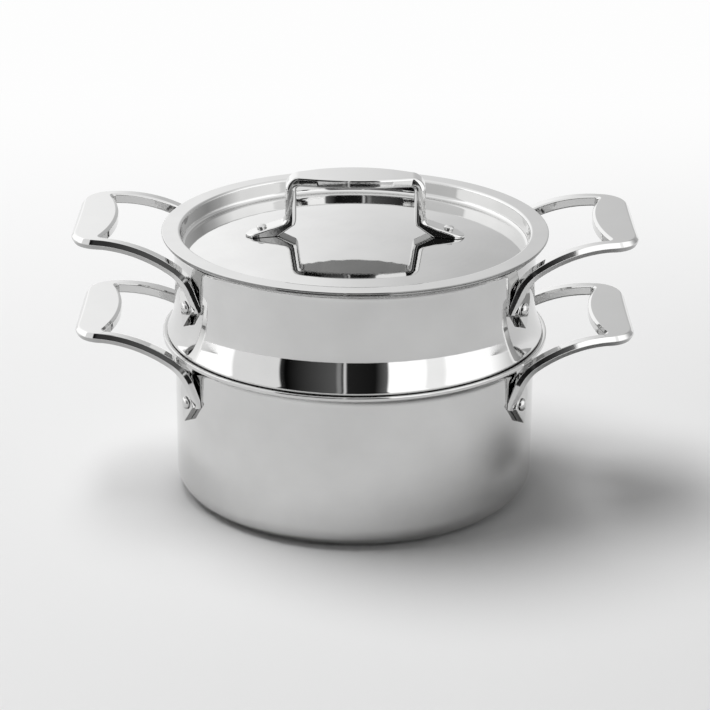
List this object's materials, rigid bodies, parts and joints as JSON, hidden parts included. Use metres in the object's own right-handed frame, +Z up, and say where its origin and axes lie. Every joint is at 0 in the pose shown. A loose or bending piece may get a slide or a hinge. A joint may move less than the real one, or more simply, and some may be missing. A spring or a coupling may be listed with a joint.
{
  "type": "steamer pot",
  "caption": "Stacked stovetop steamer: a two-handled saucepot, a sieve-floored steamer insert seated in its flared mouth, and a recessed lid with a bridge handle.",
  "frame": {"origin": "centre of the pot's flat base, on the surface that it stands on", "axes": "+Z up along the axis of the pot, +X towards the right side handle, +Y away from the viewer of the picture"},
  "size_m": [0.3182, 0.222, 0.1872],
  "materials": {
    "pot_steel": "satin-polished stainless steel with fine turned lines",
    "sheet_steel": "mirror-polished stainless steel sheet",
    "cast_steel": "polished cast stainless steel",
    "rivet_steel": "polished stainless steel"
  },
  "bodies": {
    "pot": {"pot_body": "pot_steel", "pot_handle_left": "cast_steel", "pot_handle_right": "cast_steel", "pot_rivet_left_front": "rivet_steel", "pot_rivet_left_rear": "rivet_steel", "pot_rivet_right_front": "rivet_steel", "pot_rivet_right_rear": "rivet_steel"},
    "insert": {"insert_body": "sheet_steel", "insert_handle_left": "cast_steel", "insert_handle_right": "cast_steel", "insert_rivet_left_front": "rivet_steel", "insert_rivet_left_rear": "rivet_steel", "insert_rivet_right_front": "rivet_steel", "insert_rivet_right_rear": "rivet_steel"},
    "lid": {"lid_cover": "sheet_steel", "lid_handle": "cast_steel", "lid_rivet_left": "rivet_steel", "lid_rivet_right": "rivet_steel"}
  },
  "joints": [
    {"name": "insert_lift", "type": "slide", "parent": "pot", "child": "insert", "axis": [0, 0, 1], "range_m": [0, 0.07]},
    {"name": "lid_lift", "type": "slide", "parent": "insert", "child": "lid", "axis": [0, 0, 1], "range_m": [0, 0.06]}
  ]
}
